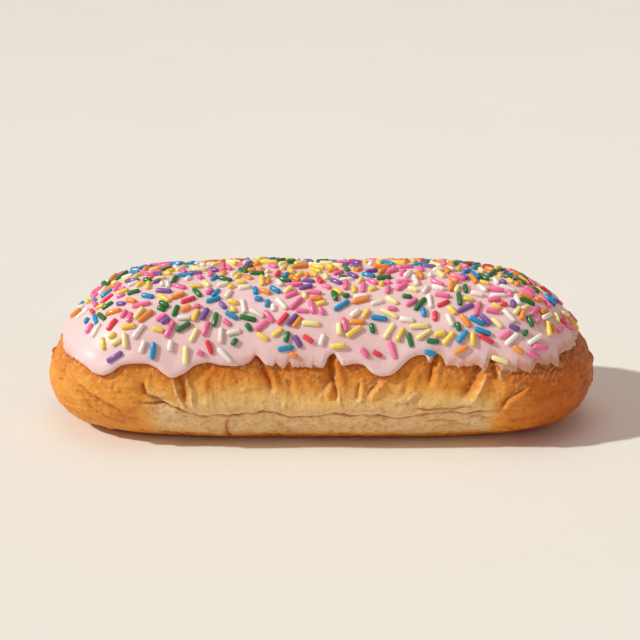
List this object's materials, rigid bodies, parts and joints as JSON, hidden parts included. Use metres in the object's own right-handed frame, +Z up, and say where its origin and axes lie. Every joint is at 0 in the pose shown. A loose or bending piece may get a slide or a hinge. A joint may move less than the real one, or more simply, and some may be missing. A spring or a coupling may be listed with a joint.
{
  "type": "iced finger bun",
  "caption": "Long soft finger bun with a flat foot, topped with pink fondant icing that runs down in drips and is scattered with sugar sprinkles.",
  "frame": {"origin": "middle of the flat foot, under the middle of the bun", "axes": "+X along the bun, +Y across it towards the back, +Z up through the icing"},
  "size_m": [0.1603, 0.0604, 0.0471],
  "materials": {
    "crust": "soft baked crust, satin golden brown on top and paler low on the sides",
    "icing": "smooth satin fondant, pale pink"
  },
  "bodies": {
    "root": {"bun": "crust", "icing": "icing"}
  },
  "joints": []
}
